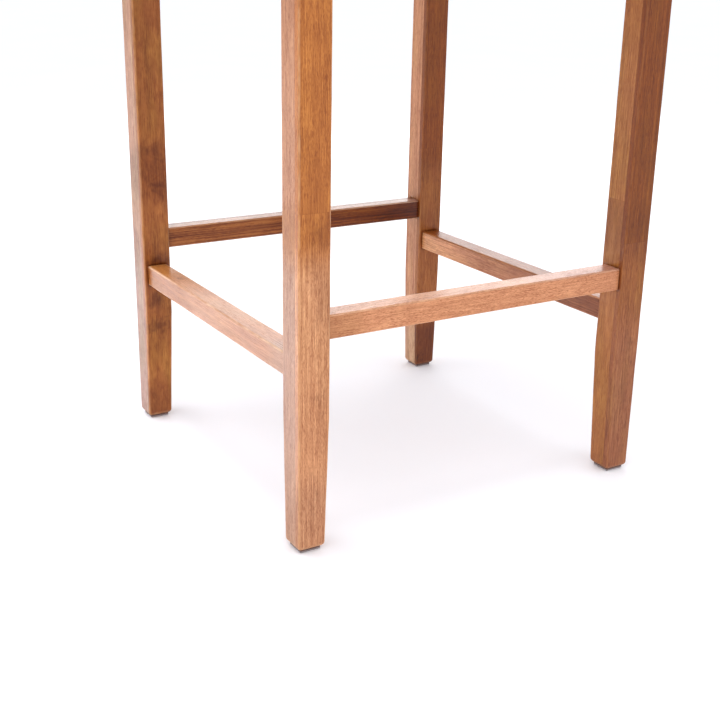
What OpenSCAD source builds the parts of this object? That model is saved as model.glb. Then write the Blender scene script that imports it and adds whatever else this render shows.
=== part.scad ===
// Square bar stool in hardwood: four legs with tapered feet, a footrest of four bars at two
// heights, a seat frame with corner blocks, and a gently dished wooden seat.
// Millimetres, +Z up. The origin is on the floor, under the middle of the seat. The front is -Y.

/* [Overall] */
// Width and depth of the base, across the legs' outer faces
base_w = 446; // [400:1:500]
// Height of the seat's rim above the floor
seat_h = 690; // [640:1:780]

/* [Legs] */
// Side of a leg's square section
leg_w = 35; // [32:0.5:42]
// How far each inner face leans in by the time it meets the floor
leg_taper = 4.4; // [0:0.1:8]
// Height at which the inner faces start to lean in
taper_h = 143.5; // [80:0.5:170]
// Radius of a leg's upright edges
leg_edge_r = 2.2; // [1:0.1:4]
// Radius of the rim round the foot of a leg
foot_edge_r = 5.4; // [1:0.1:6]

/* [Footrest] */
// Side of a bar's square section
bar_w = 25; // [20:0.5:28]
// Height of the underside of the front and rear bars
front_bar_z = 226; // [215:0.5:320]
// Height of the underside of the side bars
side_bar_z = 182; // [172:0.5:190]
// Radius of a bar's long edges
bar_edge_r = 2; // [0.5:0.1:3]

/* [Seat] */
// Width and depth of the seat
seat_w = 460; // [446:1:500]
// Thickness of the seat at its rim
seat_t = 26; // [22:1:32]
// Radius of the seat's corners seen from above
seat_corner_r = 22; // [14:1:40]
// Radius of the seat's upper edge
seat_top_r = 7; // [4:0.5:9]
// Radius of the seat's lower edge
seat_low_r = 3; // [2:0.5:4]
// Depth of the dish along the middle of the seat
dish_depth = 6; // [2:0.5:8]
// Width of the dish from side to side
dish_w = 410; // [340:5:420]

/* [Seat frame] */
// Height of the rails under the seat
rail_h = 62; // [52:1:80]
// Thickness of the rails
rail_t = 20; // [18:0.5:22]
// How far the rails sit back from the legs' outer faces
rail_set = 3; // [1:0.5:4]
// Length of a corner block along each rail
block_l = 72; // [66:1:80]
// Height of a corner block
block_h = 38; // [30:1:42]

/* [Screws and pads] */
// Radius of the screws' shanks
screw_r = 2; // [1.5:0.1:2.2]
// Thickness of the pads under the legs
pad_t = 3; // [2:0.5:4]
// How far a pad stays inside the foot on every side
pad_inset = 3.4; // [2:0.1:5]

/* [Hidden] */

$fn = 48;
leg_colour = "#b57d52";
bar_colour = "#bd8659";
seat_colour = "#b98055";
hidden_wood_colour = "#cda982";
screw_colour = "#b9b7ae";
pad_colour = "#5c5152";

corner_signs = [-1, 1];
frame_top = seat_h - seat_t;
span = base_w - 2 * leg_w;          // clear distance between two legs
arc_steps = 4;                      // flats that a round edge of a leg is made of
cut_past = 1;                       // how far a cutter runs past the face it cuts

bar_tenon = [20, 10, 18];           // length, thickness, height
rail_tenon = [15, 10, 46];
mortise_gap = 1;                    // room for glue at the bottom of a mortise
pad_corner_r = 1;

screw_head_r = 4;
screw_head_t = 2.4;
recess_r = 1.5;                     // hexagonal drive recess
recess_depth = 1.4;
driver_r = 4.6;                     // spot-face that lets the screw head in
rail_screw_along = 76;              // from the leg's outer corner, along the rail
rail_screw_l = 28;
seat_screw_at = 51;                 // from the leg's outer corner, both ways
seat_screw_l = block_h + 14;
block_notch = leg_w + 2;            // the block stays 2 mm clear of the leg
rail_inner = rail_set + rail_t;     // the rail's inner face, from the leg's outer face
rail_screw_head = rail_inner + 14;  // the plane that a rail screw's head bears on

dish_r = (dish_w * dish_w / 4 + dish_depth * dish_depth) / (2 * dish_depth);
dish_fn = 720;

// ---- helpers ----

// Places a child drawn in a corner's own frame: its origin at the leg's outer corner, with +X and
// +Y running inwards along the base's sides.
module at_corner(sx, sy) {
    translate([sx * base_w / 2, sy * base_w / 2, 0])
        mirror([sx > 0 ? 1 : 0, 0, 0])
            mirror([0, sy > 0 ? 1 : 0, 0])
                children();
}

// Swaps X and Y in a corner's own frame.
module other_way() {
    mirror([1, -1, 0]) children();
}

module at_every_corner() {
    for (sx = corner_signs, sy = corner_signs)
        at_corner(sx, sy) children();
}

// Rectangle with round corners, its own corner at the origin.
module rounded_rect(size, r) {
    translate([r, 0]) square([size[0] - 2 * r, size[1]]);
    translate([0, r]) square([size[0], size[1] - 2 * r]);
    for (x = [r, size[0] - r], y = [r, size[1] - r])
        translate([x, y]) circle(r);
}

// ---- legs ----

// Side of a leg's square section at height z.
function leg_side(z) = leg_w - leg_taper * max(taper_h - z, 0) / taper_h;

// Level section of a leg: a square with round corners, inset from the leg's faces. It is listed
// anticlockwise as seen from above.
function leg_ring(inset, z) =
    let (low = inset + leg_edge_r, high = leg_side(z) - inset - leg_edge_r)
    [for (corner = [[low, low, 180], [high, low, 270], [high, high, 0], [low, high, 90]],
          step = [0 : arc_steps])
        let (a = corner[2] + 90 * step / arc_steps)
        [corner[0] + leg_edge_r * cos(a), corner[1] + leg_edge_r * sin(a), z]];

// Solid through rings of points, from the lowest ring up.
module loft(rings) {
    n = len(rings[0]);
    last = len(rings) - 1;
    points = [for (ring = rings) each ring];
    bottom = [[for (j = [0 : n - 1]) j]];
    top = [[for (j = [n - 1 : -1 : 0]) last * n + j]];
    sides = [for (i = [0 : last - 1], j = [0 : n - 1])
        let (next = (j + 1) % n)
        [i * n + j, (i + 1) * n + j, (i + 1) * n + next, i * n + next]];
    polyhedron(points, concat(bottom, sides, top));
}

// Square leg with rounded edges, inner faces that lean in, and a rounded rim round its foot.
module leg_blank() {
    foot = [for (step = [0 : arc_steps])
        let (a = 90 * step / arc_steps)
        leg_ring(foot_edge_r * (1 - sin(a)), pad_t + foot_edge_r * (1 - cos(a)))];
    loft(concat(foot, [leg_ring(0, taper_h), leg_ring(0, frame_top)]));
}

// Room for a tenon that enters the leg's inner X face. centre_y and low_z place the tenon.
module mortise(tenon, centre_y, low_z) {
    depth = tenon[0] + mortise_gap;
    translate([leg_w - depth, centre_y - tenon[1] / 2, low_z])
        cube([depth + cut_past, tenon[1], tenon[2]]);
}

module leg(sx, sy) {
    rail_mid = rail_set + rail_t / 2;
    rail_low = frame_top - (rail_h + rail_tenon[2]) / 2;
    bar_low = (bar_w - bar_tenon[2]) / 2;
    color(leg_colour)
        at_corner(sx, sy)
            difference() {
                leg_blank();
                mortise(bar_tenon, leg_w / 2, front_bar_z + bar_low);
                other_way() mortise(bar_tenon, leg_w / 2, side_bar_z + bar_low);
                mortise(rail_tenon, rail_mid, rail_low);
                other_way() mortise(rail_tenon, rail_mid, rail_low);
            }
}

// ---- bars and rails ----

// Bar along X between two legs, with a tenon at each end. It is drawn at the -Y side of the base.
// section is its thickness and height, set is its distance from the legs' outer faces.
module beam(section, edge_r, set, low_z, tenon) {
    translate([0, -base_w / 2 + set, low_z]) {
        translate([span / 2, 0, 0])
            rotate([0, -90, 0])
                linear_extrude(span)
                    rounded_rect([section[1], section[0]], edge_r);
        translate([-span / 2 - tenon[0], (section[0] - tenon[1]) / 2, (section[1] - tenon[2]) / 2])
            cube([span + 2 * tenon[0], tenon[1], tenon[2]]);
    }
}

// side is 0 for the front and 180 for the rear.
module footrest(side) {
    color(bar_colour)
        rotate([0, 0, side])
            beam([bar_w, bar_w], bar_edge_r, (leg_w - bar_w) / 2, front_bar_z, bar_tenon);
}

// side is 90 for the right and -90 for the left.
module stretcher(side) {
    color(bar_colour)
        rotate([0, 0, side])
            beam([bar_w, bar_w], bar_edge_r, (leg_w - bar_w) / 2, side_bar_z, bar_tenon);
}

module seat_rail(side) {
    color(leg_colour)
        difference() {
            rotate([0, 0, side])
                beam([rail_t, rail_h], bar_edge_r, rail_set, frame_top - rail_h, rail_tenon);
            at_every_corner() rail_screw_pair(0);
        }
}

// ---- corner blocks and screws ----

// Screw pointing up, with its head's bearing face at the origin. gap widens the shank for a
// clearance hole; the head has a drive recess.
module screw(length, gap) {
    cylinder(r = screw_r + gap, h = length);
    difference() {
        translate([0, 0, -screw_head_t]) cylinder(r = screw_head_r, h = screw_head_t);
        translate([0, 0, -screw_head_t - cut_past])
            cylinder(r = recess_r, h = recess_depth + cut_past, $fn = 6);
    }
}

// The screw that holds a corner block to the rail along X.
module rail_screw(gap) {
    translate([rail_screw_along, rail_screw_head, frame_top - block_h / 2])
        rotate([90, 0, 0]) screw(rail_screw_l, gap);
}

module rail_screw_pair(gap) {
    rail_screw(gap);
    other_way() rail_screw(gap);
}

module seat_screw(gap) {
    translate([seat_screw_at, seat_screw_at, frame_top - block_h]) screw(seat_screw_l, gap);
}

// Opens the block's slanted face in front of a rail screw's head.
module driver_way() {
    translate([rail_screw_along, rail_screw_head, frame_top - block_h / 2])
        rotate([-90, 0, 0]) cylinder(r = driver_r, h = block_l);
}

module corner_block(sx, sy) {
    hole_gap = 0.3;
    color(hidden_wood_colour)
        at_corner(sx, sy)
            difference() {
                translate([0, 0, frame_top - block_h])
                    linear_extrude(block_h)
                        polygon([
                            [block_notch, rail_inner], [rail_inner + block_l, rail_inner],
                            [rail_inner, rail_inner + block_l], [rail_inner, block_notch],
                            [block_notch, block_notch]
                        ]);
                rail_screw_pair(hole_gap);
                seat_screw(hole_gap);
                driver_way();
                other_way() driver_way();
            }
}

module rail_screws() {
    color(screw_colour) at_every_corner() rail_screw_pair(0);
}

module seat_screws() {
    color(screw_colour) at_every_corner() seat_screw(0);
}

// ---- seat ----

// Section through the seat's edge, from the corner's centre outwards.
module seat_edge_section() {
    difference() {
        square([seat_corner_r, seat_t]);
        translate([seat_corner_r - seat_top_r, seat_t - seat_top_r])
            square(seat_top_r + cut_past);
        translate([seat_corner_r - seat_low_r, -cut_past])
            square([seat_low_r + cut_past, seat_low_r + cut_past]);
    }
    translate([seat_corner_r - seat_top_r, seat_t - seat_top_r]) circle(seat_top_r);
    translate([seat_corner_r - seat_low_r, seat_low_r]) circle(seat_low_r);
}

// Slab with round corners and rounded edges.
module seat_slab() {
    inner = seat_w / 2 - seat_corner_r;
    translate([-inner, -inner, 0]) cube([2 * inner, 2 * inner, seat_t]);
    for (side = [0 : 90 : 270])
        rotate([0, 0, side]) {
            translate([inner, inner, 0]) rotate_extrude() seat_edge_section();
            translate([inner, inner, 0])
                rotate([90, 0, 0]) linear_extrude(2 * inner) seat_edge_section();
        }
}

module seat() {
    color(seat_colour)
        difference() {
            translate([0, 0, frame_top]) seat_slab();
            translate([0, 0, seat_h + dish_r - dish_depth])
                rotate([90, 0, 0])
                    cylinder(r = dish_r, h = seat_w + 2 * cut_past, center = true, $fn = dish_fn);
            at_every_corner() seat_screw(0);
        }
}

// ---- foot pads ----

// Square pad glued under the foot, which is narrower than the leg by the taper.
module foot_pad(sx, sy) {
    pad_w = leg_side(pad_t) - 2 * pad_inset;
    color(pad_colour)
        at_corner(sx, sy)
            translate([pad_inset, pad_inset, 0])
                linear_extrude(pad_t) rounded_rect([pad_w, pad_w], pad_corner_r);
}

leg(-1, -1);  // leg_front_left
leg(1, -1);  // leg_front_right
leg(-1, 1);  // leg_rear_left
leg(1, 1);  // leg_rear_right
footrest(0);  // footrest_front
footrest(180);  // footrest_rear
stretcher(-90);  // stretcher_left
stretcher(90);  // stretcher_right
seat_rail(0);  // seat_rail_front
seat_rail(180);  // seat_rail_rear
seat_rail(-90);  // seat_rail_left
seat_rail(90);  // seat_rail_right
corner_block(-1, -1);  // corner_block_front_left
corner_block(1, -1);  // corner_block_front_right
corner_block(-1, 1);  // corner_block_rear_left
corner_block(1, 1);  // corner_block_rear_right
rail_screws();
seat_screws();
seat();
foot_pad(-1, -1);  // foot_pad_front_left
foot_pad(1, -1);  // foot_pad_front_right
foot_pad(-1, 1);  // foot_pad_rear_left
foot_pad(1, 1);  // foot_pad_rear_right
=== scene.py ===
"""Bar stool with footrest: lacquered hardwood pieces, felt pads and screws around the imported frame."""

import math

import bmesh
import bpy
from mathutils import Matrix, Vector, noise


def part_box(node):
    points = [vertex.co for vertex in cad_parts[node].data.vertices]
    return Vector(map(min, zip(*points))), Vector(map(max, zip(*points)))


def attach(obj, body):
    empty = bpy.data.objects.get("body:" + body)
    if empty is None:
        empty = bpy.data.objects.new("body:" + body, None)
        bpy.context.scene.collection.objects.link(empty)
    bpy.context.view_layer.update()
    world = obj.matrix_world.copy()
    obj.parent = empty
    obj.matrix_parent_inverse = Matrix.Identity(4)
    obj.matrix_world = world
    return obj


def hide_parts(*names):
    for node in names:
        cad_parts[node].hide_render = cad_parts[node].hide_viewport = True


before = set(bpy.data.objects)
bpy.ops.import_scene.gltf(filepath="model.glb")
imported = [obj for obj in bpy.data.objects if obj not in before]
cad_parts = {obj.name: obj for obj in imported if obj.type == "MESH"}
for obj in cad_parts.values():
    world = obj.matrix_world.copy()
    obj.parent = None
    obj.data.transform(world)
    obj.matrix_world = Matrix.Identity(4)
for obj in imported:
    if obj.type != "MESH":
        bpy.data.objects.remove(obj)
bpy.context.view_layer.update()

# Shape of the legs, in metres.
LEG_TAPER = 0.0044
TAPER_TOP = 0.1435
LEG_EDGE_R = 0.0022
FOOT_EDGE_R = 0.0054
LEG_RING_STEP = 0.012

# Bars, rails and their tenons: (length, thickness, height).
BAR_EDGE_R = 0.0021
BAR_RING_STEP = 0.014
SHOULDER_EASE = 0.0005
BAR_TENON = Vector((0.020, 0.010, 0.018))
RAIL_TENON = Vector((0.015, 0.010, 0.046))
MORTISE_GAP = 0.001

# Seat.
SEAT_CORNER_R = 0.022
SEAT_TOP_R = 0.007
SEAT_LOW_R = 0.003
DISH_DEPTH = 0.006
DISH_W = 0.410
SEAT_CELLS = 96
DISH_SOFTNESS = 0.0008

# Foot pads.
PAD_EDGE_R = 0.0006
PAD_CUTS = 12
PAD_UNEVEN = 0.00035
PAD_SHRINK = 0.0002

ARC_STEPS = 6
WEAR = 0.22         # how much the radius of a worn edge varies, as a share of it
CUT_PAST = 0.004    # how far a mortise's cutter runs past the face it cuts


# ---- mesh helpers ----

def add_object(name, bm):
    """Turns a bmesh into an object with smooth shading."""
    bmesh.ops.recalc_face_normals(bm, faces=bm.faces)
    mesh = bpy.data.meshes.new(name)
    bm.to_mesh(mesh)
    bm.free()
    for face in mesh.polygons:
        face.use_smooth = True
    ob = bpy.data.objects.new(name, mesh)
    bpy.context.scene.collection.objects.link(ob)
    return ob


def weight_normals(ob):
    """Large flat faces decide the normals, so the rounded edges don't shade the flats."""
    modifier = ob.modifiers.new("flat_faces", "WEIGHTED_NORMAL")
    modifier.mode = "FACE_AREA"
    modifier.weight = 80
    modifier.keep_sharp = True


def rounded_ring(low, high, r):
    """Rectangle with round corners as (x, y, edge), anticlockwise. edge is 1 on the corners."""
    r = min(r, (high[0] - low[0]) / 2.01, (high[1] - low[1]) / 2.01)
    centres = (
        (low[0] + r, low[1] + r, 180),
        (high[0] - r, low[1] + r, 270),
        (high[0] - r, high[1] - r, 0),
        (low[0] + r, high[1] - r, 90),
    )
    points = []
    for x, y, start in centres:
        for step in range(ARC_STEPS + 1):
            share = step / ARC_STEPS
            a = math.radians(start + 90 * share)
            points.append((x + r * math.cos(a), y + r * math.sin(a), math.sin(math.pi * share)))
    return points


def add_ring(bm, edge_layer, points):
    """Adds (Vector, edge) points as vertices."""
    ring = []
    for co, edge in points:
        vert = bm.verts.new(co)
        vert[edge_layer] = edge
        ring.append(vert)
    return ring


def bridge(bm, rings):
    """Quads between neighbouring rings of the same length."""
    for low, high in zip(rings, rings[1:]):
        for i in range(len(low)):
            j = (i + 1) % len(low)
            bm.faces.new((low[i], low[j], high[j], high[i]))


def carved(ob, cutters):
    """Cuts boxes, given as (low, high) corners, out of ob."""
    bm = bmesh.new()
    for low, high in cutters:
        low, high = Vector(map(min, low, high)), Vector(map(max, low, high))
        size = high - low
        place = Matrix.Translation((low + high) / 2) @ Matrix.Diagonal((*size, 1))
        bmesh.ops.create_cube(bm, size=1, matrix=place)
    cutter = add_object("cutter", bm)
    modifier = ob.modifiers.new("mortises", "BOOLEAN")
    modifier.operation = "DIFFERENCE"
    modifier.solver = "EXACT"
    modifier.object = cutter
    bpy.context.view_layer.update()
    graph = bpy.context.evaluated_depsgraph_get()
    done = bpy.data.meshes.new_from_object(ob.evaluated_get(graph), depsgraph=graph)
    ob.modifiers.clear()
    ob.data = done
    bpy.data.objects.remove(cutter)


def settle(ob, slot, material, *nodes):
    """Gives a new piece its material and its body, and hides the CAD node it stands for. slot is not used.
    """
    ob.data.materials.clear()
    ob.data.materials.append(material)
    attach(ob, "root")
    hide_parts(*nodes)


# ---- node helpers ----

class Nodes:
    """Builds a material's node tree. A value is a number, a tuple or another node's socket."""

    def __init__(self, name):
        self.material = bpy.data.materials.new(name)
        self.material.use_nodes = True
        self.tree = self.material.node_tree
        self.tree.nodes.clear()

    def add(self, kind, values=(), **settings):
        made = self.tree.nodes.new("ShaderNode" + kind)
        for key, value in settings.items():
            setattr(made, key, value)
        for key, value in dict(values).items():
            self.give(made.inputs[key], value)
        return made

    def give(self, socket, value):
        if isinstance(value, bpy.types.NodeSocket):
            self.tree.links.new(value, socket)
        else:
            socket.default_value = value

    def math(self, operation, a, b=0.0, c=0.0):
        made = self.add("Math", {0: a, 1: b, 2: c}, operation=operation)
        return made.outputs[0]

    def vector(self, operation, a, b=(0, 0, 0)):
        return self.add("VectorMath", {0: a, 1: b}, operation=operation).outputs[0]

    def combine(self, x, y, z):
        return self.add("CombineXYZ", {0: x, 1: y, 2: z}).outputs[0]

    def split(self, vector):
        return self.add("SeparateXYZ", {0: vector}).outputs

    def noise(self, vector, detail=2.0, rough=0.5, scale=1.0):
        made = self.add("TexNoise", {"Vector": vector, "Scale": scale, "Detail": detail,
                                     "Roughness": rough})
        return made.outputs["Factor"] if "Factor" in made.outputs else made.outputs["Fac"]

    def noise_along(self, value, detail=2.0, rough=0.5):
        made = self.add("TexNoise", {"W": value, "Scale": 1.0, "Detail": detail, "Roughness": rough},
                        noise_dimensions="1D")
        return made.outputs["Factor"] if "Factor" in made.outputs else made.outputs["Fac"]

    def grain(self, vector, scale, detail=2.0, rough=0.5):
        """Noise that is stretched: scale has one value for each axis."""
        return self.noise(self.vector("MULTIPLY", vector, scale), detail, rough)

    def offset(self, vector, reach, detail, scale=1.0):
        """Random shift of at most half of reach along each axis."""
        made = self.add("TexNoise", {"Vector": vector, "Scale": scale, "Detail": detail})
        centred = self.vector("SUBTRACT", made.outputs["Color"], (0.5, 0.5, 0.5))
        return self.vector("MULTIPLY", centred, reach)

    def length(self, vector):
        return self.add("VectorMath", {0: vector}, operation="LENGTH").outputs[1]

    def random(self, value):
        """Random (value, colour) sockets that stay the same for the same number."""
        return self.add("TexWhiteNoise", {"W": value}, noise_dimensions="1D").outputs

    def ease(self, value, low, high, to_low=0.0, to_high=1.0):
        made = self.add("MapRange", {"Value": value, "From Min": low, "From Max": high,
                                     "To Min": to_low, "To Max": to_high},
                        interpolation_type="SMOOTHSTEP")
        return made.outputs[0]

    def mix(self, share, a, b, blend="MIX"):
        made = self.add("Mix", data_type="RGBA", blend_type=blend)
        for index, value in ((0, share), (6, a), (7, b)):
            if isinstance(value, tuple):
                value = (*value, 1.0)[:4]
            self.give(made.inputs[index], value)
        return made.outputs[2]

    def blend(self, share, a, b):
        """a where share is 0 and b where it is 1, for plain numbers."""
        made = self.add("Mix", data_type="FLOAT")
        for index, value in ((0, share), (2, a), (3, b)):
            self.give(made.inputs[index], value)
        return made.outputs[0]

    def tinted(self, share, colour, tint):
        """colour, multiplied by tint where share is 1."""
        return self.mix(share, colour, self.mix(1.0, colour, tint, "MULTIPLY"))

    def ramp(self, value, stops):
        made = self.add("ValToRGB", {0: value})
        elements = made.color_ramp.elements
        while len(elements) < len(stops):
            elements.new(0.5)
        for element, (place, colour) in zip(elements, stops):
            element.position = place
            element.color = (*colour, 1.0)
        return made.outputs[0]

    def finish(self, shader):
        out = self.add("OutputMaterial")
        self.tree.links.new(shader.outputs[0], out.inputs[0])
        return self.material


# ---- wood ----

# Linear colours of the lacquered boards. PEACH_HIGHLIGHT, ROSE_HIGHLIGHT and MAUVE, where they colour the
# bars' tops, are painted highlight on the wood.
UMBER = (0.213, 0.051, 0.006)
RUSSET = (0.313, 0.098, 0.022)
ROAN = (0.288, 0.094, 0.034)
CHESTNUT = (0.370, 0.132, 0.034)
ORANGE = (0.470, 0.154, 0.031)
TAN = (0.430, 0.180, 0.085)
FAWN = (0.400, 0.195, 0.112)
DUN = (0.245, 0.107, 0.056)
HONEY = (0.550, 0.238, 0.107)
AMBER = (0.630, 0.270, 0.130)
PEACH_HIGHLIGHT = (0.700, 0.370, 0.224)
ROSE_HIGHLIGHT = (0.600, 0.315, 0.225)
MAUVE = (0.350, 0.190, 0.140)

# How many times each channel grows over one step of lightness: darks are redder than lights.
GRAIN_RANGE = (3.0, 4.8, 6.3)
OCHRE_TINT = (0.97, 1.08, 0.90)
PORE_TINT = (0.46, 0.25, 0.16)
MARK_TINT = (0.36, 0.24, 0.17)
# Colours that edges turn to: rubbed wear, with a painted highlight along the rounded edges.
EDGE_WEAR_AND_HIGHLIGHT = (0.70, 0.38, 0.19)
PALE_EDGE_WEAR_AND_HIGHLIGHT = (0.88, 0.62, 0.44)

# Scales of the wood's noises. Where there are three, the last is along the grain.
DRIFT_SCALE = (14, 14, 4)
BLOTCH_SCALE = (30, 30, 12)
MOTTLE_SCALE = (150, 150, 85)
OCHRE_SCALE = (45, 45, 10)
CROWD_SCALE = (70, 70, 18)
CLOUD_SCALE = (170, 170, 50)
BAND_SCALE = 170
STRIPE_SCALE = 640
STREAK_SCALE = 320
FIBRE_SCALE = 1350
FINE_PORE_SCALE = 2000
BOLD_PORE_SCALE = 1100
LACQUER_SCALE = (75, 75, 75)

BLOCK_SHIFT = 0.7       # how far apart in the noise two blocks are read
DRIFT = 0.005           # how far the grain wanders
SWIRL_BEND = 0.008      # how far the rings bend round a knot
DARKEST, LIGHTEST = -0.8, 0.32
MARK_FADE = 1.35        # where a mark ends, in radii
SWIRL_REACH = 2.4       # where the grain runs straight again, in radii
STAVE_W = 0.0575        # width of a stave of the seat
STAVE_BLOCK_L = 0.31    # length of a stave's blocks
GLUE_HALF_W = 0.0004    # half of a glue line's width, with its soft edges

# How the grain's coordinates are read: two across it and the last along it.
AXES = {"x": (1, 2, 0), "y": (0, 2, 1), "z": (0, 1, 2)}


def toned(colour, by):
    """The same wood, darker where by is negative and lighter where it is positive."""
    return tuple(channel * grain ** by for channel, grain in zip(colour, GRAIN_RANGE))


def blocks(n, along, parts):
    """(number, colour, joint) of end-jointed blocks. parts are (where one starts, its colour),
    or (where, colour, how far) for a block that slowly turns to another colour."""
    number, colour, joint = 0.0, parts[0][1], 0.0
    for start, after, *turn in parts[1:]:
        if turn:
            colour = n.mix(n.ease(along, start, start + turn[0]), colour, after)
            continue
        passed = n.math("GREATER_THAN", along, start)
        number = n.math("ADD", number, passed)
        colour = n.mix(passed, colour, after)
        gap = n.math("ABSOLUTE", n.math("SUBTRACT", along, start))
        joint = n.math("MAXIMUM", joint, n.ease(gap, GLUE_HALF_W, 0.0))
    return number, colour, joint


def glued(n, place, core, face, layer):
    """(number, colour, joint) of the wood at a place, where a thin face board covers the core. On the bars
    the face is their top, and its colours are painted highlight and shade.

    layer is (which coordinate across, where the face board, on the bars the painted top, starts, +1 or -1
    for its side)."""
    number, colour, joint = blocks(n, place[2], core)
    if layer is None:
        return number, colour, joint
    index, start, side = layer
    on_face = n.math("GREATER_THAN", n.math("MULTIPLY", place[index], side), start * side)
    face_number, face_colour, face_joint = blocks(n, place[2], face)
    line = n.ease(n.math("ABSOLUTE", n.math("SUBTRACT", place[index], start)), GLUE_HALF_W, 0.0)
    number = n.blend(on_face, number, n.math("ADD", face_number, 7.0))
    joint = n.math("MAXIMUM", n.blend(on_face, joint, face_joint), line)
    return number, n.mix(on_face, colour, face_colour), joint


def dark_marks(n, position, axis, marks):
    """(swirl, shade) of knots and stained patches.

    marks are (place, radius, stretch along the grain, depth, whether the grain swirls round it)."""
    swirl, shade = 0.0, 0.0
    if not marks:
        return swirl, shade
    ragged = n.vector("ADD", position, n.offset(position, (0.030, 0.030, 0.030), detail=4.0, scale=110.0))
    for centre, radius, stretch, depth, swirls in marks:
        scale = [1.0, 1.0, 1.0]
        scale["xyz".index(axis)] = 1 / stretch
        gap = n.vector("MULTIPLY", n.vector("SUBTRACT", ragged, centre), tuple(scale))
        shade = n.math("ADD", shade, n.ease(n.length(gap), radius * MARK_FADE, 0.0, 0.0, depth))
        if swirls:
            gap = n.vector("MULTIPLY", n.vector("SUBTRACT", position, centre), tuple(scale))
            swirl = n.math("ADD", swirl, n.ease(n.length(gap), radius * SWIRL_REACH, 0.0))
    return swirl, shade


def shade_and_stain_near(n, position, nodes, reach=0.0035):
    """1 where the wood touches the given nodes, fading out over reach: painted contact shade, and stain
    that gathers there.
    """
    total = 0.0
    for node in nodes:
        low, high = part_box(node)
        middle, half = (low + high) / 2, (high - low) / 2
        gap = n.vector("ABSOLUTE", n.vector("SUBTRACT", position, tuple(middle)))
        gap = n.vector("MAXIMUM", n.vector("SUBTRACT", gap, tuple(half)), (0, 0, 0))
        total = n.math("MAXIMUM", n.ease(n.length(gap), reach, 0.0), total)
    return total


def grain_space(n, place, number, seed):
    """Coordinates where each block is a different piece of tree, and its grain wanders slowly."""
    shift = n.random(n.math("ADD", number, float(seed)))[1]
    shift = n.vector("MULTIPLY", shift, (BLOCK_SHIFT, BLOCK_SHIFT, BLOCK_SHIFT))
    moved = n.vector("ADD", n.combine(*place), shift)
    drift = n.offset(n.vector("MULTIPLY", moved, DRIFT_SCALE), (DRIFT, DRIFT, 0.0), detail=2.0)
    return n.vector("ADD", moved, drift)


def ring_distance(n, moved, pith, swirl):
    """Distance from the pith, which the growth rings follow. It bends round the knots."""
    across = n.split(n.vector("SUBTRACT", moved, (pith[0], pith[1], 0)))
    squares = n.math("ADD", n.math("MULTIPLY", across[0], across[0]),
                     n.math("MULTIPLY", across[1], across[1]))
    return n.math("MULTIPLY_ADD", swirl, SWIRL_BEND, n.math("SQRT", squares))


def grain_lightness(n, moved, rings, fibre, lines, run, figure):
    """How much darker or lighter the grain makes the wood."""
    layers = (
        (n.noise_along(n.math("MULTIPLY", rings, float(BAND_SCALE)), detail=1), 0.40 * lines),
        (n.noise_along(n.math("MULTIPLY", rings, float(STRIPE_SCALE)), detail=1), 0.36 * lines),
        (n.grain(moved, BLOTCH_SCALE), 0.35),
        (n.grain(moved, MOTTLE_SCALE, detail=1), figure),
        (n.grain(moved, (STREAK_SCALE, STREAK_SCALE, 1 / run), rough=0.6), 0.38 * lines),
        (fibre, 0.50 + 0.4 * lines),
    )
    value = 0.0
    for layer, share in layers:
        value = n.math("MULTIPLY_ADD", n.math("SUBTRACT", layer, 0.5), share, value)
    return n.math("MINIMUM", n.math("MAXIMUM", value, DARKEST), LIGHTEST)


def vessels(n, moved, length):
    """Short dark dashes along the grain, more of them in some areas than in others."""
    crowd = n.math("MULTIPLY", n.math("SUBTRACT", n.grain(moved, CROWD_SCALE, detail=1), 0.5), 0.22)
    fine = n.grain(moved, (FINE_PORE_SCALE, FINE_PORE_SCALE, 1.6 / length), detail=1, rough=0.4)
    fine = n.ease(n.math("ADD", fine, crowd), 0.52, 0.64)
    bold = n.grain(moved, (BOLD_PORE_SCALE, BOLD_PORE_SCALE, 0.9 / length), detail=1, rough=0.4)
    bold = n.ease(n.math("ADD", bold, crowd), 0.58, 0.68)
    return n.math("MAXIMUM", n.math("MULTIPLY", fine, 0.7), bold)


def lacquered(n, colour, position, dash, fibre, edge):
    """Satin lacquer: open pores and worn edges are duller, and the coat isn't quite flat."""
    rough = n.math("MULTIPLY_ADD", dash, 0.14, n.math("MULTIPLY_ADD", fibre, 0.08, 0.25))
    rough = n.math("MULTIPLY_ADD", edge, 0.12, rough)
    height = n.math("SUBTRACT", n.math("MULTIPLY", fibre, 0.4), dash)
    relief = n.add("Bump", {"Strength": 0.07, "Distance": 0.00010, "Height": height}).outputs[0]
    wave = n.grain(position, LACQUER_SCALE)
    coat = n.add("Bump", {"Strength": 0.35, "Distance": 0.0006, "Height": wave, "Normal": relief})
    return n.add("BsdfPrincipled", {"Base Color": colour, "Roughness": rough, "IOR": 1.36,
                                    "Normal": coat.outputs[0]})


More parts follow.
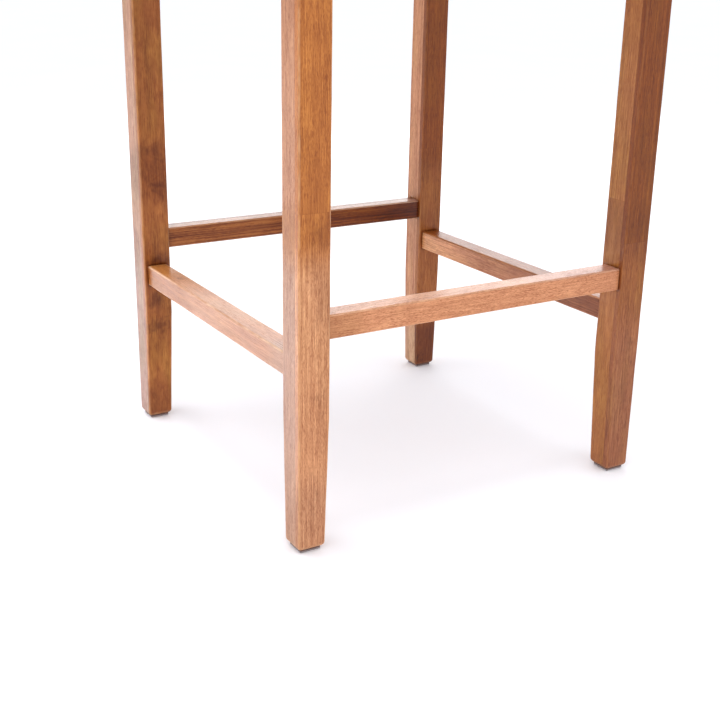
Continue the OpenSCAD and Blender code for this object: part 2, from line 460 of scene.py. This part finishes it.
def wood(name, axis, seed, core, face=None, layer=None, marks=(), touch=(), pith=(0.06, 0.03),
         lines=1.0, run=0.07, pores=1.0, vessel=0.009, ochre=0.5, figure=0.15, wear_and_highlight=0.4, worn_and_highlight=EDGE_WEAR_AND_HIGHLIGHT,
         cells=None):
    """Lacquered hardwood with its grain along axis.

    core and face are its end-jointed blocks, and pith is where its rings centre; on the bars the face is
    the top, in colours of painted highlight and shade. lines, pores, ochre and figure are how strongly
    those show, run is how far the grain lines run, vessel is how long the pores are, and
    wear_and_highlight is how far its edges turn to worn_and_highlight: rubbed paler, with a painted
    highlight along the rounded edges.
    cells replaces the blocks with a layout of its own."""
    n = Nodes(name)
    position = n.add("TexCoord").outputs["Object"]
    xyz = n.split(position)
    place = [xyz[i] for i in AXES[axis]]
    number, colour, joint = cells(n, place) if cells else glued(n, place, core, face, layer)
    swirl, shade = dark_marks(n, position, axis, marks)
    moved = grain_space(n, place, number, seed)

    fibre = n.grain(moved, (FIBRE_SCALE, FIBRE_SCALE, 2.5 / run), detail=1)
    rings = ring_distance(n, moved, pith, swirl)
    value = grain_lightness(n, moved, rings, fibre, lines, run, figure)
    colour = n.vector("MULTIPLY", colour, n.vector("POWER", GRAIN_RANGE, n.combine(value, value, value)))
    ochre_share = n.ease(n.grain(moved, OCHRE_SCALE, detail=1), 0.42, 0.66, 0.0, ochre)
    colour = n.tinted(ochre_share, colour, OCHRE_TINT)
    dash = vessels(n, moved, vessel)
    colour = n.tinted(n.math("MULTIPLY", dash, 0.55 * pores), colour, PORE_TINT)

    # Knots and joints; painted contact shade with stain at the shoulders; edges rubbed paler with a
    # painted highlight.
    cloudy = n.grain(moved, CLOUD_SCALE, detail=3)
    shade = n.math("MULTIPLY", shade, n.ease(cloudy, 0.25, 0.65, 0.55, 1.15))
    colour = n.tinted(n.math("MINIMUM", shade, 1.0), colour, MARK_TINT)
    colour = n.tinted(n.math("MULTIPLY", joint, 0.30), colour, PORE_TINT)
    # Darker where it touches the bars: painted contact shade, and stain that gathers there.
    if touch:
        colour = n.tinted(n.math("MULTIPLY", shade_and_stain_near(n, position, touch), 0.6), colour, MARK_TINT)
    # Edges turn paler: rubbed wear, with a painted highlight along the rounded edges.
    edge = n.add("Attribute", attribute_name="edge").outputs["Fac"]
    colour = n.mix(n.math("MULTIPLY", edge, n.ease(cloudy, 0.3, 0.7, wear_and_highlight * 0.3, wear_and_highlight)), colour, worn_and_highlight)
    return n.finish(lacquered(n, colour, position, dash, fibre, edge))


def staves(n, place):
    """(number, colour, joint) over the seat: staves side by side, end-jointed at random places."""
    across = n.math("DIVIDE", place[0], STAVE_W)
    stave = n.math("FLOOR", across)
    start = n.random(n.math("ADD", stave, 31.0))[0]
    along = n.math("ADD", n.math("DIVIDE", place[2], STAVE_BLOCK_L), start)
    number = n.math("ADD", n.math("MULTIPLY", stave, 17.0), n.math("FLOOR", along))
    colour = n.mix(n.random(n.math("ADD", number, 5.0))[0], RUSSET, HONEY)
    joint = 0.0
    for value, step in ((across, STAVE_W), (along, STAVE_BLOCK_L)):
        part = n.math("FRACT", value)
        gap = n.math("MULTIPLY", n.math("MINIMUM", part, n.math("SUBTRACT", 1.0, part)), step)
        joint = n.math("MAXIMUM", joint, n.ease(gap, GLUE_HALF_W, 0.0))
    return number, colour, joint


# ---- legs ----

def make_leg(node, material):
    """Square leg with rounded edges, inner faces that lean in and a rounded rim at the foot."""
    low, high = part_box(node)
    side = high.x - low.x
    sx, sy = (1 if low.x > 0 else -1), (1 if low.y > 0 else -1)
    corner = Vector((high.x if sx > 0 else low.x, high.y if sy > 0 else low.y, 0))

    def ring(z, inset):
        width = side - LEG_TAPER * max(TAPER_TOP - z, 0) / TAPER_TOP
        wear = noise.noise(Vector((corner.x * 40, corner.y * 40, z * 28)))
        r = LEG_EDGE_R * (1 + WEAR * wear)
        flat = rounded_ring((inset, inset), (width - inset, width - inset), r)
        return [(Vector((corner.x - sx * u, corner.y - sy * v, z)), e) for u, v, e in flat]

    bm = bmesh.new()
    edge = bm.verts.layers.float.new("edge")
    rings = []
    for step in range(ARC_STEPS + 1):
        a = math.pi / 2 * step / ARC_STEPS
        points = ring(low.z + FOOT_EDGE_R * (1 - math.cos(a)), FOOT_EDGE_R * (1 - math.sin(a)))
        foot_edge = math.sin(2 * a)
        rings.append(add_ring(bm, edge, [(co, max(e, foot_edge)) for co, e in points]))
    start = low.z + FOOT_EDGE_R
    count = math.ceil((high.z - start) / LEG_RING_STEP)
    heights = [start + (high.z - start) * i / count for i in range(1, count + 1)] + [TAPER_TOP]
    for z in sorted(heights):
        rings.append(add_ring(bm, edge, ring(z, 0.0)))
    bridge(bm, rings)
    bm.faces.new(rings[0])
    bm.faces.new(rings[-1])
    ob = add_object(node + "_wood", bm)
    carved(ob, mortises(corner, sx, sy, side))
    weight_normals(ob)
    settle(ob, "leg_wood", material, node)


def mortises(corner, sx, sy, side):
    """Boxes for the four tenons that enter a leg, as pairs of corners."""
    front = "front" if sy < 0 else "rear"
    hand = "left" if sx < 0 else "right"
    entering = (
        ("footrest_" + front, BAR_TENON, 0), ("stretcher_" + hand, BAR_TENON, 1),
        ("seat_rail_" + front, RAIL_TENON, 0), ("seat_rail_" + hand, RAIL_TENON, 1),
    )
    boxes = []
    for beam, tenon, along in entering:
        low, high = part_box(beam)
        middle = (low + high) / 2
        sign = (sx, sy)[along]
        face = corner[along] - sign * side
        a, b = Vector(), Vector()
        a[along], b[along] = face - sign * CUT_PAST, face + sign * (tenon.x + MORTISE_GAP)
        a[1 - along] = middle[1 - along] - tenon.y / 2
        b[1 - along] = middle[1 - along] + tenon.y / 2
        a.z, b.z = middle.z - tenon.z / 2, middle.z + tenon.z / 2
        boxes.append((a, b))
    return boxes


# ---- bars and rails ----

def make_beam(node, slot, material, tenon):
    """Bar or rail with rounded edges, and a tenon inside an eased shoulder at each end."""
    low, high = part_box(node)
    along = 0 if high.x - low.x > high.y - low.y else 1
    middle = (low + high) / 2
    half = (high[along] - low[along]) / 2 - tenon.x
    thick, tall = (high - low)[1 - along] / 2, (high - low).z / 2

    def at(t, a, b):
        co = Vector((0, 0, middle.z + b))
        co[along] = middle[along] + t
        co[1 - along] = middle[1 - along] + a
        return co

    bm = bmesh.new()
    edge = bm.verts.layers.float.new("edge")
    eased = half - SHOULDER_EASE
    count = math.ceil(2 * eased / BAR_RING_STEP)
    places = [-eased + 2 * eased * i / count for i in range(count + 1)]
    rings = []
    for t in [-half] + places + [half]:
        inset = SHOULDER_EASE if abs(t) == half else 0.0
        wear = noise.noise(Vector((t * 30, middle.x * 50, middle.y * 50 + middle.z * 9)))
        flat = rounded_ring((inset - thick, inset - tall), (thick - inset, tall - inset),
                            BAR_EDGE_R * (1 + WEAR * wear))
        rings.append(add_ring(bm, edge, [(at(t, a, b), e) for a, b, e in flat]))
    bridge(bm, rings)
    for ring, sign in ((rings[0], -1), (rings[-1], 1)):
        sides = ((-1, -1), (1, -1), (1, 1), (-1, 1))
        root, tip = (
            [bm.verts.new(at(sign * t, tenon.y / 2 * a, tenon.z / 2 * b)) for a, b in sides]
            for t in (half, half + tenon.x)
        )
        bridge(bm, [root, tip])
        bm.faces.new(tip)
        loops = [bm.edges.get((r[i], r[(i + 1) % len(r)])) for r in (ring, root) for i in range(len(r))]
        bmesh.ops.triangle_fill(bm, edges=loops, use_beauty=True)
    ob = add_object(node + "_wood", bm)
    weight_normals(ob)
    settle(ob, slot, material, node)


# ---- seat ----

def dish(x):
    """How far the seat's top lies under its rim at x, with the dish's border smoothed."""
    depth = DISH_DEPTH * (1 - (2 * x / DISH_W) ** 2)
    return (depth + math.sqrt(depth * depth + DISH_SOFTNESS ** 2)) / 2


def on_rounded_square(direction, half, r):
    """Where a ray from the middle meets a square with round corners."""
    reach = half / max(abs(direction.x), abs(direction.y))
    point = direction * reach
    inner = half - r
    if min(abs(point.x), abs(point.y)) <= inner:
        return point
    centre = Vector((math.copysign(inner, point.x), math.copysign(inner, point.y)))
    unit = direction.normalized()
    along = unit.dot(centre)
    return unit * (along + math.sqrt(max(along * along - centre.length_squared + r * r, 0)))


def make_seat(material):
    """Slab with round corners, rounded edges and a shallow dish from side to side."""
    low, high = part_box("seat")
    half = high.x
    bm = bmesh.new()
    edge = bm.verts.layers.float.new("edge")
    inner = half - SEAT_CORNER_R
    n = SEAT_CELLS

    def top(x):
        return high.z - dish(x)

    grid = [[None] * (n + 1) for _ in range(n + 1)]
    for i in range(n + 1):
        for j in range(n + 1):
            x, y = -inner + 2 * inner * i / n, -inner + 2 * inner * j / n
            grid[i][j] = bm.verts.new((x, y, top(x)))
    for i in range(n):
        for j in range(n):
            bm.faces.new((grid[i][j], grid[i + 1][j], grid[i + 1][j + 1], grid[i][j + 1]))
    border = [grid[i][0] for i in range(n)] + [grid[n][j] for j in range(n)]
    border += [grid[i][n] for i in range(n, 0, -1)] + [grid[0][j] for j in range(n, 0, -1)]

    # Each step is (inset from the seat's side, way to find z, edge wear).
    steps = [(SEAT_CORNER_R * share, top, 0.0) for share in (0.85, 0.7, 0.55, 0.42)]
    for k in range(ARC_STEPS + 1):
        a = math.pi / 2 * k / ARC_STEPS
        drop = SEAT_TOP_R * (1 - math.cos(a))
        steps.append((SEAT_TOP_R * (1 - math.sin(a)), lambda x, d=drop: top(x) - d, math.sin(2 * a)))
    for k in range(ARC_STEPS + 1):
        a = math.pi / 2 * k / ARC_STEPS
        z = low.z + SEAT_LOW_R * (1 - math.sin(a))
        steps.append((SEAT_LOW_R * (1 - math.cos(a)), lambda x, z=z: z, math.sin(2 * a)))

    rings = [border]
    for inset, height, wear in steps:
        ring = []
        for vert in border:
            p = on_rounded_square(vert.co.xy, half - inset, max(SEAT_CORNER_R - inset, 0.0005))
            made = bm.verts.new((p.x, p.y, height(p.x)))
            made[edge] = wear
            ring.append(made)
        rings.append(ring)
    bridge(bm, rings)
    bm.faces.new(rings[-1])
    ob = add_object("seat_wood", bm)
    weight_normals(ob)
    settle(ob, "seat_wood", material, "seat")


# ---- foot pads, blocks and screws ----

def felt():
    """Dense dark felt: matted fibres, a little lint, and painted shade towards its top, under the wood."""
    n = Nodes("dark_felt")
    position = n.add("TexCoord").outputs["Object"]
    mat = n.noise(position, detail=6, rough=0.7, scale=1400)
    lint = n.grain(position, (3000, 900, 3000))
    colour = n.ramp(mat, ((0.25, (0.21, 0.165, 0.165)), (0.6, (0.38, 0.32, 0.32)),
                          (0.85, (0.50, 0.44, 0.445))))
    height = n.split(position)[2]
    # Painted shade: darker and browner towards the top of the pad, under the wood's rim.
    colour = n.tinted(n.ease(height, 0.0008, 0.0026, 0.0, 0.85), colour, (0.38, 0.21, 0.16))
    colour = n.mix(n.ease(lint, 0.62, 0.75, 0.0, 0.5), colour, (0.32, 0.29, 0.30))
    bump = n.add("Bump", {"Strength": 0.8, "Distance": 0.0004, "Height": mat})
    shader = n.add("BsdfPrincipled", {
        "Base Color": colour, "Roughness": 0.95, "Normal": bump.outputs[0], "Sheen Weight": 0.3,
        "Sheen Roughness": 0.5, "Specular IOR Level": 0.2,
    })
    return n.finish(shader)


def make_pad(node, material):
    """Square felt pad with soft, slightly uneven edges."""
    low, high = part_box(node)
    bm = bmesh.new()
    place = Matrix.Translation((low + high) / 2) @ Matrix.Diagonal((*(high - low), 1))
    bmesh.ops.create_cube(bm, size=1, matrix=place)
    bmesh.ops.bevel(bm, geom=bm.edges, offset=PAD_EDGE_R, segments=2, affect="EDGES")
    long_edges = [e for e in bm.edges if e.calc_length() > 0.002]
    bmesh.ops.subdivide_edges(bm, edges=long_edges, cuts=PAD_CUTS, use_grid_fill=True)
    middle = (low + high) / 2
    for vert in bm.verts:
        wobble = noise.noise(vert.co * 420) * PAD_UNEVEN
        out = Vector((vert.co.x - middle.x, vert.co.y - middle.y, 0)).normalized()
        if abs(vert.co.z - middle.z) < (high.z - low.z) * 0.49:
            vert.co += out * (wobble - PAD_SHRINK)
    ob = add_object(node + "_felt", bm)
    settle(ob, "pad_felt", material, node)


def bare_wood():
    """Pale unfinished wood of the corner blocks, planed and open-grained."""
    n = Nodes("bare_wood")
    position = n.add("TexCoord").outputs["Object"]
    grain = n.grain(position, (26, 26, 300), detail=4, rough=0.6)
    fine = n.grain(position, (150, 150, 1900))
    value = n.math("ADD", n.math("MULTIPLY", grain, 0.7), n.math("MULTIPLY", fine, 0.3))
    colour = n.ramp(value, ((0.2, (0.36, 0.20, 0.10)), (0.5, (0.58, 0.38, 0.21)),
                            (0.8, (0.72, 0.54, 0.34))))
    rough = n.ease(fine, 0.2, 0.8, 0.62, 0.8)
    bump = n.add("Bump", {"Strength": 0.5, "Distance": 0.0002, "Height": value})
    shader = n.add("BsdfPrincipled", {"Base Color": colour, "Roughness": rough, "Normal": bump.outputs[0]})
    return n.finish(shader)


def plated_steel():
    """Zinc plated steel with faint turning marks."""
    n = Nodes("plated_steel")
    position = n.add("TexCoord").outputs["Object"]
    marks = n.grain(position, (400, 400, 4000))
    cloud = n.noise(position, detail=3, scale=260)
    colour = n.ramp(cloud, ((0.3, (0.42, 0.41, 0.38)), (0.7, (0.66, 0.65, 0.60))))
    rough = n.ease(marks, 0.2, 0.8, 0.28, 0.45)
    bump = n.add("Bump", {"Strength": 0.2, "Distance": 0.0001, "Height": marks})
    shader = n.add("BsdfPrincipled", {"Base Color": colour, "Roughness": rough, "Normal": bump.outputs[0],
                                      "Metallic": 1.0})
    return n.finish(shader)


def dress_cad(node, material, bevel=0.0):
    """Gives a CAD node that stays in view its material and, if asked, eased edges."""
    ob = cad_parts[node]
    ob.data.materials.clear()
    ob.data.materials.append(material)
    if bevel:
        modifier = ob.modifiers.new("eased_edges", "BEVEL")
        modifier.width = bevel
        modifier.segments = 2
        modifier.limit_method = "ANGLE"
        modifier.angle_limit = math.radians(50)


# ---- the object ----

# Where a piece's face board starts: (which coordinate across, where, +1 or -1 for its side). On the bars
# it is the top, coloured apart from the sides as painted highlight and shade.
FRONT_LEG_FACE = (1, -0.2155, -1)
REAR_LEG_FACE = (1, 0.1955, -1)
FOOTREST_TOP = (1, 0.2495, 1)
STRETCHER_TOP = (1, 0.2055, 1)

# The legs' colours change with height: end-jointed blocks, and partly painted light: mostly paler and
# pinker near the feet, for the reflection of the bright floor, and deeper near the top.
make_leg("leg_front_left", wood(
    "wood_leg_front_left", "z", 3,
    core=((0, toned(FAWN, 0.11)), (0.0235, toned(FAWN, 0.03), 0.06), (0.2785, toned(CHESTNUT, 0.05), 0.05),
          (0.3385, toned(TAN, 0.05), 0.04)),
    face=((0, toned(TAN, 0.14)), (0.0535, toned(HONEY, 0.03), 0.05), (0.1535, toned(HONEY, 0.12), 0.03),
          (0.2835, ORANGE, 0.05), (0.3545, ORANGE)),
    layer=FRONT_LEG_FACE, lines=0.8, ochre=0.1, wear_and_highlight=0.75, vessel=0.006,
    touch=("footrest_front", "stretcher_left"),
    marks=(((-0.204, -0.223, 0.3385), 0.026, 1.5, 0.15, False),
           ((-0.190, -0.223, 0.2655), 0.019, 2.4, 0.42, False),
           ((-0.196, -0.223, 0.3355), 0.013, 1.6, 0.30, False),
           ((-0.207, -0.223, 0.3005), 0.009, 2.0, 0.35, False),
           ((-0.198, -0.223, 0.1685), 0.008, 3.5, 0.25, False),
           ((-0.206, -0.223, 0.0555), 0.0045, 9.0, 0.32, False),
           ((-0.196, -0.223, 0.0885), 0.011, 6.0, 0.06, False),
           ((-0.195, -0.223, 0.195), 0.010, 8.0, 0.13, False))))
make_leg("leg_front_right", wood(
    "wood_leg_front_right", "z", 11,
    core=((0, toned(CHESTNUT, -0.08)), (0.0835, CHESTNUT, 0.06), (0.2615, toned(CHESTNUT, -0.25), 0.02),
          (0.3275, toned(CHESTNUT, 0.02))),
    face=((0, ROAN), (0.1535, toned(RUSSET, -0.05), 0.08), (0.2385, toned(RUSSET, -0.30), 0.04),
          (0.2805, UMBER)),
    layer=FRONT_LEG_FACE, ochre=0.7, wear_and_highlight=0.12, touch=("footrest_front", "stretcher_right"),
    marks=(((0.190, -0.195, 0.3055), 0.022, 1.3, 0.25, False),
           ((0.206, -0.223, 0.3035), 0.022, 1.3, 0.20, False),
           ((0.206, -0.223, 0.1665), 0.007, 4.0, 0.35, False),
           ((0.204, -0.223, 0.0985), 0.008, 4.0, 0.20, False))))
make_leg("leg_rear_left", wood(
    "wood_leg_rear_left", "z", 23,
    core=((0, toned(MAUVE, -0.08)), (0.0535, toned(DUN, -0.03), 0.04), (0.2385, toned(DUN, 0.22), 0.02),
          (0.2835, toned(DUN, 0.08), 0.02), (0.3385, toned(FAWN, -0.06), 0.02)),
    face=((0, toned(RUSSET, -0.22)), (0.0335, toned(RUSSET, 0.05), 0.03), (0.0735, RUSSET, 0.03),
          (0.1500, toned(RUSSET, -0.06), 0.03), (0.2285, toned(RUSSET, 0.03), 0.02),
          (0.2785, toned(RUSSET, -0.30), 0.02), (0.3485, RUSSET, 0.02)),
    layer=REAR_LEG_FACE, ochre=1.0, pores=0.8, lines=0.7, figure=0.55,
    touch=("footrest_rear", "stretcher_left"),
    marks=(((-0.210, 0.188, 0.3495), 0.013, 0.7, 0.55, True),
           ((-0.197, 0.188, 0.3345), 0.009, 2.6, 0.45, False),
           ((-0.214, 0.188, 0.3255), 0.008, 2.4, 0.40, False),
           ((-0.202, 0.188, 0.3075), 0.016, 0.5, 0.75, True),
           ((-0.190, 0.188, 0.2935), 0.009, 2.6, 0.40, False),
           ((-0.203, 0.188, 0.2105), 0.016, 0.7, 0.95, False),
           ((-0.210, 0.188, 0.1605), 0.011, 1.3, 0.75, False),
           ((-0.207, 0.188, 0.1275), 0.021, 0.5, 0.85, False))))
make_leg("leg_rear_right", wood(
    "wood_leg_rear_right", "z", 37,
    core=((0, toned(FAWN, 0.22)), (0.0435, toned(TAN, 0.09), 0.04)),
    face=((0, toned(RUSSET, -0.65)), (0.0535, toned(RUSSET, 0.03), 0.04),
          (0.2085, toned(RUSSET, -0.06), 0.02), (0.2855, toned(UMBER, 0.10), 0.03),
          (0.3245, toned(UMBER, 0.12))),
    layer=REAR_LEG_FACE, wear_and_highlight=0.15, touch=("footrest_rear", "stretcher_right"),
    marks=(((0.200, 0.188, 0.3065), 0.019, 1.4, 0.25, False),
           ((0.196, 0.192, 0.0155), 0.007, 1.3, 1.0, False))))

# The bars' tops, set by FOOTREST_TOP and STRETCHER_TOP, are coloured as painted highlight and shade.
make_beam("footrest_front", "bar_wood", wood(
    "wood_footrest_front", "x", 41,
    core=((-0.2, toned(HONEY, -0.03)), (-0.165, AMBER, 0.03), (0.13, toned(AMBER, -0.12), 0.04)),
    face=((-0.2, toned(PEACH_HIGHLIGHT, -0.10)), (-0.165, PEACH_HIGHLIGHT, 0.03), (0.05, ROSE_HIGHLIGHT, 0.05)),
    layer=FOOTREST_TOP, pores=1.15, vessel=0.0045, lines=0.5, ochre=0.1, figure=0.3,
    marks=(((-0.100, -0.218, 0.2415), 0.010, 2.5, 0.15, False),)), BAR_TENON)
# Darker towards its right end by the rear right leg: dark wood and painted shade together.
make_beam("footrest_rear", "bar_wood", wood(
    "wood_footrest_rear", "x", 53,
    core=((-0.2, toned(RUSSET, -0.12)), (-0.07, toned(UMBER, -0.14), 0.08),
          (0.07, toned(UMBER, -0.62), 0.09)),
    face=((-0.2, toned(TAN, -0.22)), (0.02, MAUVE, 0.12)), layer=FOOTREST_TOP,
    lines=3.2, run=0.2, figure=0.3, pores=1.2), BAR_TENON)
make_beam("stretcher_left", "bar_wood", wood(
    "wood_stretcher_left", "y", 61,
    core=((-0.2, FAWN), (-0.17, toned(TAN, -0.04), 0.04), (0.03, toned(CHESTNUT, -0.20), 0.06)),
    face=((-0.2, FAWN), (-0.16, toned(TAN, 0.12), 0.03), (0.04, toned(TAN, 0.20), 0.05),
          (0.09, toned(CHESTNUT, 0.22), 0.06)),
    layer=STRETCHER_TOP, lines=0.7, pores=0.6, ochre=0.3, wear_and_highlight=0.75, worn_and_highlight=PALE_EDGE_WEAR_AND_HIGHLIGHT,
    marks=(((-0.218, -0.070, 0.2035), 0.0018, 1.5, 1.0, False),
           ((-0.218, -0.124, 0.2055), 0.0018, 1.5, 1.0, False),
           ((-0.203, 0.118, 0.207), 0.006, 1.6, 0.8, True))), BAR_TENON)
# Much darker towards its front end, seen under the front footrest: dark wood and painted shade together.
make_beam("stretcher_right", "bar_wood", wood(
    "wood_stretcher_right", "y", 71,
    core=((-0.2, toned(HONEY, -0.80)), (-0.12, toned(HONEY, -0.33), 0.12),
          (0.03, toned(HONEY, 0.08), 0.12)),
    face=((-0.2, toned(HONEY, -0.20)), (-0.08, toned(UMBER, 0.20))), layer=STRETCHER_TOP, ochre=0.3),
    BAR_TENON)
for index, side in enumerate(("front", "rear", "left", "right")):
    axis = "x" if side in ("front", "rear") else "y"
    rail_wood = wood("wood_rail_" + side, axis, 83 + 7 * index, core=((0, CHESTNUT),))
    make_beam("seat_rail_" + side, "leg_wood", rail_wood, RAIL_TENON)
make_seat(wood("wood_seat", "x", 101, None, pith=(0.3, -0.1), cells=staves))

pad_felt = felt()
block_wood = bare_wood()
for place in ("front_left", "front_right", "rear_left", "rear_right"):
    make_pad("foot_pad_" + place, pad_felt)
    dress_cad("corner_block_" + place, block_wood, bevel=0.0006)
screw_steel = plated_steel()
for node in ("rail_screws", "seat_screws"):
    dress_cad(node, screw_steel)


# ---- floor, light and camera ----

FLOOR_SIZE = 20
WORLD_STRENGTH = 1.12


def make_floor():
    """Wide plain white floor."""
    bm = bmesh.new()
    bmesh.ops.create_grid(bm, x_segments=4, y_segments=4, size=FLOOR_SIZE)
    floor = add_object("floor", bm)
    n = Nodes("floor_white")
    position = n.add("TexCoord").outputs["Object"]
    cloud = n.noise(position, detail=2, scale=3)
    colour = n.ramp(cloud, ((0.3, (0.880, 0.899, 0.954)), (0.7, (0.890, 0.909, 0.964))))
    shader = n.add("BsdfPrincipled", {"Base Color": colour, "Roughness": 0.9, "Specular IOR Level": 0.1})
    floor.data.materials.append(n.finish(shader))


def make_light(name, at, aim, size, power, spread=180):
    lamp = bpy.data.lights.new(name, "AREA")
    lamp.shape = "RECTANGLE"
    lamp.size, lamp.size_y = size
    lamp.energy = power
    lamp.spread = math.radians(spread)
    ob = bpy.data.objects.new(name, lamp)
    ob.location = at
    ob.rotation_mode = "QUATERNION"
    ob.rotation_quaternion = (Vector(aim) - Vector(at)).to_track_quat("-Z", "Y")
    bpy.context.scene.collection.objects.link(ob)


def make_world():
    world = bpy.data.worlds.new("studio")
    world.use_nodes = True
    background = world.node_tree.nodes["Background"]
    background.inputs[0].default_value = (1.0, 1.0, 1.0, 1.0)
    background.inputs[1].default_value = WORLD_STRENGTH
    bpy.context.scene.world = world
    bpy.context.scene.view_settings.view_transform = "Standard"


def make_camera(at, azimuth, elevation, roll, lens):
    """Camera that looks azimuth degrees round from +Y and elevation degrees down."""
    a, e, r = (math.radians(x) for x in (azimuth, elevation, roll))
    forward = Vector((-math.sin(a) * math.cos(e), math.cos(a) * math.cos(e), -math.sin(e)))
    level = Vector((math.cos(a), math.sin(a), 0))
    right = level * math.cos(r) + level.cross(forward) * math.sin(r)
    up = right.cross(forward)
    data = bpy.data.cameras.new("camera")
    data.sensor_width = 36
    data.lens = lens
    camera = bpy.data.objects.new("camera", data)
    turn = Matrix((right, up, -forward)).transposed().to_4x4()
    camera.matrix_world = Matrix.Translation(at) @ turn
    bpy.context.scene.collection.objects.link(camera)
    bpy.context.scene.camera = camera


make_floor()
make_world()
make_light("key", (-1.0, 0.45, 1.0), (-0.35, 0.1, 0), (0.8, 0.8), 2.5)
make_light("low", (-0.50, 0.42, 0.20), (-0.50, 0.42, 0), (0.4, 1.1), 2.5, spread=70)
make_light("strip", (-0.62, 0.66, 0.22), (-0.2, -0.1, 0.2), (0.5, 0.4), 0.5)
make_light("back", (1.5, 2.5, 1.35), (0, 0, 0.25), (2.6, 1.6), 28)
make_light("top", (-0.30, -0.22, 2.0), (0, 0, 0.2), (0.7, 0.7), 8)
make_light("front", (0.02, -0.60, 0.30), (-0.02, -0.44, 0), (0.9, 0.25), 0.2, spread=80)
make_camera((-0.7240, -1.1691, 0.5950), azimuth=-31.06, elevation=19.62, roll=1.017, lens=58.93)
